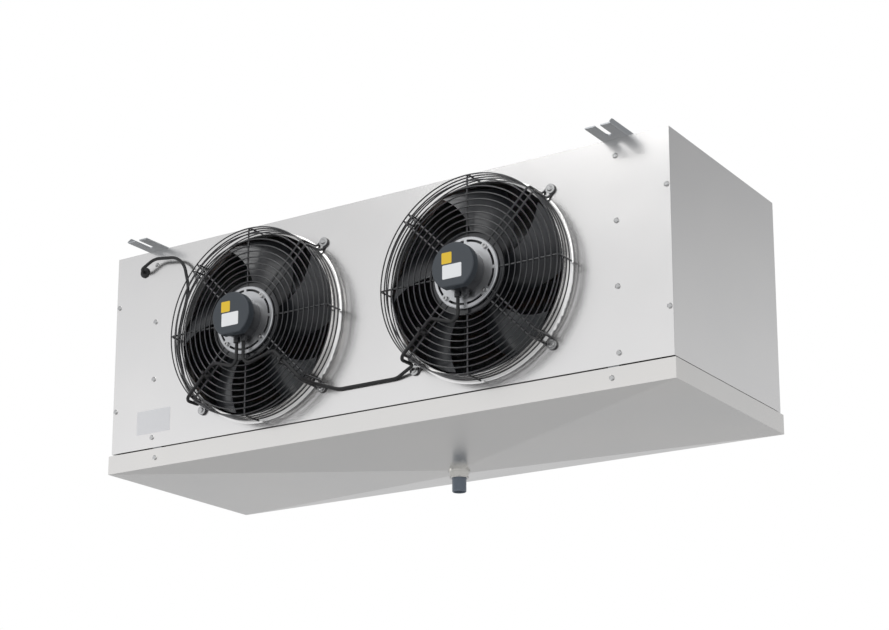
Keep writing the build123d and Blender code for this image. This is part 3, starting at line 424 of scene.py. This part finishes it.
# ---- wire guards ---------------------------------------------------------------------------
@dataclass
class WireGuard:
    """The round-wire guard in front of one fan."""

    fan: FanSpec
    spec: GuardSpec
    shop: Paintshop

    def build(self) -> bpy.types.Object:
        """Makes the guard's rings, spokes and arms as one welded piece.

        Returns:
            The finished guard, riding on the casing and standing for its CAD node.
        """
        parts = [self._ring(r, self.spec.front) for r in self._front_radii()]
        step = self.spec.side_step
        parts += [
            self._ring(self.spec.rim, self.spec.front + i * step)
            for i in range(1, self.spec.side_rings + 1)
        ]
        parts += [self._spoke(a) for a in (0, 90, 180, 270)]
        for angle in (45, 135, 225, 315):
            parts.append(self._arm(angle))
        parts.append(self._middle_plate())
        guard = join(parts, f"wire_guard_{self.fan.side.value}")
        smooth(guard, SMOOTH_ANGLE)
        self.shop.put(guard, WIRE)
        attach(guard, "cabinet")
        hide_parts(f"fan_guard_{self.fan.side.value}")
        return guard

    def _front_radii(self) -> list[float]:
        gap = (self.spec.rim - self.spec.inner) / (self.spec.rings - 1)
        return [self.spec.inner + i * gap for i in range(self.spec.rings)]

    def _place(self, radius: float, y: float, across: float, degrees: float) -> Point:
        """A point on the guard from its radius, depth and distance across its own spoke."""
        a = math.radians(degrees)
        x = radius * math.cos(a) - across * math.sin(a)
        z = radius * math.sin(a) + across * math.cos(a)
        return (self.fan.x + x, y, self.fan.z + z)

    def _ring(self, radius: float, front: float) -> bpy.types.Object:
        clear_selection()
        half = self.spec.ring_wire / 2
        bpy.ops.mesh.primitive_torus_add(
            major_radius=radius,
            minor_radius=half,
            major_segments=RING_SEGMENTS,
            minor_segments=RING_SIDES,
            location=(self.fan.x, front + half, self.fan.z),
            rotation=(math.pi / 2, 0, 0),
        )
        return name_active("ring")

    def _wire(self, points: list[Point], diameter: float) -> bpy.types.Object:
        """A round wire along a smooth run of points, as a mesh."""
        curve = bpy.data.curves.new("wire", "CURVE")
        curve.dimensions = "3D"
        curve.bevel_depth = diameter / 2
        curve.bevel_resolution = 3
        curve.use_fill_caps = True
        spline = curve.splines.new("POLY")
        spline.points.add(len(points) - 1)
        for point, place in zip(spline.points, points):
            point.co = (*place, 1.0)
        obj = bpy.data.objects.new("wire", curve)
        bpy.context.collection.objects.link(obj)
        select_only(obj)
        bpy.ops.object.convert(target="MESH")
        return bpy.context.active_object

    def _bend(self, centre: Profile, radius: float, start: float) -> list[Profile]:
        """(radius, y) points round a quarter bend."""
        turns = [math.radians(start + 90 * i / BEND_STEPS) for i in range(BEND_STEPS + 1)]
        return [
            (centre[0] + radius * math.cos(t), centre[1] + radius * math.sin(t)) for t in turns
        ]

    def _spoke(self, degrees: float) -> bpy.types.Object:
        s = self.spec
        y = s.front + s.ring_wire + s.spoke_wire / 2 - s.weld
        radius = s.rim + (s.ring_wire + s.spoke_wire) / 2 - s.weld
        end = s.front + s.side_rings * s.side_step + s.ring_wire + 0.001
        run = [(s.start, y)]
        run += self._bend((radius - s.bend, y + s.bend), s.bend, -90)
        run.append((radius, end))
        return self._wire([self._place(r, d, 0, degrees) for r, d in run], s.spoke_wire)

    def _arm(self, degrees: float) -> bpy.types.Object:
        """One wire out along the arm, down the side, round the screw and back again."""
        s = self.spec
        half = s.arm_wire / 2
        y = s.front + s.ring_wire + half - s.weld
        radius = s.rim + (s.ring_wire + s.arm_wire) / 2 - s.weld
        foot = s.panel - half
        run = [(s.start, y)]
        run += self._bend((radius - s.bend, y + s.bend), s.bend, -90)
        turn = self._bend((radius + s.bend, foot - s.bend), s.bend, 90)
        run += turn[::-1]
        run.append((s.foot, foot))
        run = [p for p in run if p[0] <= s.foot]
        there = [self._place(r, d, s.spread, degrees) for r, d in run]
        back = [self._place(r, d, -s.spread, degrees) for r, d in run][::-1]
        loop = []
        for i in range(1, EYELET_STEPS):
            t = math.pi / 2 - math.pi * i / EYELET_STEPS
            out, across = s.foot + s.spread * math.cos(t), s.spread * math.sin(t)
            loop.append(self._place(out, foot, across, degrees))
        return self._wire(there + loop + back, s.arm_wire)

    def _middle_plate(self) -> bpy.types.Object:
        """The pressed ring behind the wires that the motor is bolted to."""
        s = self.spec
        y = s.front + s.ring_wire + s.arm_wire / 2 - s.weld
        clear_selection()
        bpy.ops.mesh.primitive_cylinder_add(
            vertices=PLATE_SEGMENTS,
            radius=s.inner + 0.001,
            depth=s.arm_wire / 2,
            end_fill_type="NGON",
            location=(self.fan.x, y + s.arm_wire / 4, self.fan.z),
            rotation=(math.pi / 2, 0, 0),
        )
        plate = name_active("plate")
        clear_selection()
        bpy.ops.mesh.primitive_cylinder_add(
            vertices=PLATE_SEGMENTS,
            radius=s.start - CORE_RADIUS_GAP,
            depth=0.02,
            location=(self.fan.x, y, self.fan.z),
            rotation=(math.pi / 2, 0, 0),
        )
        core = name_active("core")
        cut = plate.modifiers.new("bore", "BOOLEAN")
        cut.object = core
        cut.solver = "EXACT"
        apply_modifier(plate, "bore")
        bpy.data.objects.remove(core, do_unlink=True)
        return plate


# ---- labels ---------------------------------------------------------------------------------
@dataclass(frozen=True)
class Label:
    """A thin blank label.

    Attributes:
        name: object name.
        centre: middle of its back face.
        size: width and height.
        finish: its material.
        radius: rounding of its corners.
    """

    name: str
    centre: Point
    size: tuple[float, float]
    finish: Finish
    radius: float = 0.002

    def build(self, shop: Paintshop) -> bpy.types.Object:
        """Makes the label on a face that looks towards -Y.

        Args:
            shop: where its material comes from.

        Returns:
            The finished label, riding on the casing.
        """
        clear_selection()
        x, y, z = self.centre
        middle = (x, y - LABEL_THICKNESS / 2, z)
        bpy.ops.mesh.primitive_cube_add(size=1.0, location=middle)
        obj = name_active(self.name)
        obj.scale = (self.size[0], LABEL_THICKNESS, self.size[1])
        bpy.context.view_layer.update()
        settle(obj)
        modifier = obj.modifiers.new("corners", "BEVEL")
        modifier.width = self.radius
        modifier.segments = 4
        modifier.affect = "EDGES"
        modifier.limit_method = "WEIGHT"
        weights = obj.data.attributes.new("bevel_weight_edge", "FLOAT", "EDGE")
        for edge in obj.data.edges:
            a, b = (obj.data.vertices[i].co for i in edge.vertices)
            upright = abs(a.y - b.y) > LABEL_THICKNESS / 2
            weights.data[edge.index].value = 1.0 if upright else 0.0
        apply_modifier(obj, "corners")
        shop.put(obj, self.finish)
        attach(obj, "cabinet")
        return obj


def build_labels(shop: Paintshop) -> None:
    """Blank labels on both terminal caps and on the front panel."""
    for fan in FANS:
        side = fan.side.value
        label = (fan.x - 0.001, CAP_FACE, fan.z - 0.010)
        Label(f"cap_label_{side}", label, (0.040, 0.026), PAPER).build(shop)
        patch = (fan.x - 0.012, CAP_FACE, fan.z + 0.016)
        Label(f"cap_patch_{side}", patch, (0.021, 0.021), AMBER).build(shop)
    rating = (-0.5225, PANEL_FACE, -0.3595)
    Label("rating_label", rating, (0.086, 0.048), FOIL, 0.001).build(shop)


# ---- CAD nodes ------------------------------------------------------------------------------
def dress_cad(frame: dict, shop: Paintshop) -> None:
    """Gives every CAD node the finish of its material slot.

    Args:
        shop: where the materials come from.
    """
    slots = {part["node"]: part["material_slot"] for part in frame["record"]["subparts"]}
    for name, obj in frame["nodes"].items():
        finish = BLADE if name.startswith("fan_blades") else SLOTS[slots[name]]
        shop.dress(obj, finish)


# ---- light and camera -------------------------------------------------------------------------
def build_world() -> None:
    """White for whatever looks straight at it, and a soft grey dome for the light."""
    world = bpy.data.worlds.new("studio")
    bpy.context.scene.world = world
    world.use_nodes = True
    nodes, links = world.node_tree.nodes, world.node_tree.links
    nodes.clear()
    path = nodes.new("ShaderNodeLightPath")
    seen = nodes.new("ShaderNodeMath")
    seen.operation = "MAXIMUM"
    links.new(path.outputs["Is Camera Ray"], seen.inputs[0])
    links.new(path.outputs["Is Transmission Ray"], seen.inputs[1])

    # metal sees a bright room that dims overhead, behind the unit and below it
    place = nodes.new("ShaderNodeTexCoord")
    axes = nodes.new("ShaderNodeSeparateXYZ")
    links.new(place.outputs["Generated"], axes.inputs["Vector"])
    ramps = (
        ("Z", 0.26, 0.43, 1.0, 0.5),
        ("Y", 0.0, 0.7, 1.0, 0.7),
        ("Z", -0.35, -0.05, 0.78, 1.0),
    )
    strength = None
    for axis, low, high, at_low, at_high in ramps:
        ramp = nodes.new("ShaderNodeMapRange")
        ramp.interpolation_type = "SMOOTHSTEP"
        ramp.inputs["From Min"].default_value = low
        ramp.inputs["From Max"].default_value = high
        ramp.inputs["To Min"].default_value = at_low
        ramp.inputs["To Max"].default_value = at_high
        links.new(axes.outputs[axis], ramp.inputs["Value"])
        if strength is None:
            strength = ramp.outputs["Result"]
            continue
        product = nodes.new("ShaderNodeMath")
        product.operation = "MULTIPLY"
        links.new(strength, product.inputs[0])
        links.new(ramp.outputs["Result"], product.inputs[1])
        strength = product.outputs["Value"]

    dome = nodes.new("ShaderNodeBackground")
    dome.inputs["Color"].default_value = (0.97, 0.98, 1.0, 1.0)
    links.new(strength, dome.inputs["Strength"])
    white = nodes.new("ShaderNodeBackground")
    white.inputs["Color"].default_value = (1.0, 1.0, 1.0, 1.0)
    white.inputs["Strength"].default_value = 1.0
    mix = nodes.new("ShaderNodeMixShader")
    links.new(seen.outputs["Value"], mix.inputs["Fac"])
    links.new(dome.outputs["Background"], mix.inputs[1])
    links.new(white.outputs["Background"], mix.inputs[2])
    out = nodes.new("ShaderNodeOutputWorld")
    links.new(mix.outputs["Shader"], out.inputs["Surface"])


def add_area(name: str, place: Point, target: Point, size: float, power: float) -> None:
    """Adds a soft square lamp that faces a target.

    Args:
        name: object name.
        place: where it stands.
        target: the point that it faces.
        size: length of its sides, in metres.
        power: its strength, in watts.
    """
    lamp = bpy.data.lights.new(name, "AREA")
    lamp.size = size
    lamp.energy = power
    obj = bpy.data.objects.new(name, lamp)
    bpy.context.collection.objects.link(obj)
    obj.location = place
    aim = Vector(target) - Vector(place)
    obj.rotation_euler = aim.to_track_quat("-Z", "Y").to_euler()


def build_lights() -> None:
    """Key and fill from above the front, where no flat panel mirrors them, and one low left."""
    middle = (0.0, 0.0, -0.2)
    add_area("key", (-0.9, -2.6, 2.3), middle, 1.6, 30)
    add_area("fill", (1.2, -3.0, 1.6), middle, 1.2, 10)
    add_area("low", (-2.6, -0.6, -1.9), middle, 1.4, 8)


def build_floor(shop: Paintshop) -> None:
    """A pale floor far below the hung unit."""
    clear_selection()
    bpy.ops.mesh.primitive_plane_add(size=FLOOR_SIZE, location=(0, 0, FLOOR_HEIGHT))
    floor = name_active("floor")
    settle(floor)
    shop.put(floor, FLOOR)


def build_camera() -> None:
    """A long lens from below on the right, shifted so that uprights stay nearly parallel."""
    data = bpy.data.cameras.new("camera")
    data.lens = LENS
    data.sensor_width = SENSOR
    data.shift_y = SHIFT_UP
    data.clip_end = 60.0
    camera = bpy.data.objects.new("camera", data)
    bpy.context.collection.objects.link(camera)
    camera.location = CAMERA_PLACE
    camera.rotation_euler = (math.radians(CAMERA_TILT), 0.0, math.radians(CAMERA_TURN))
    bpy.context.scene.camera = camera


def main() -> None:
    """Builds the whole scene."""
    logging.basicConfig(level=logging.INFO)
    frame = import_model()
    shop = Paintshop()
    dress_cad(frame, shop)
    for fan in FANS:
        WireGuard(fan, GUARD, shop).build()
    build_labels(shop)
    build_floor(shop)
    build_world()
    build_lights()
    build_camera()
    bpy.context.scene.view_settings.view_transform = "Standard"


if __name__ == "__main__":
    main()
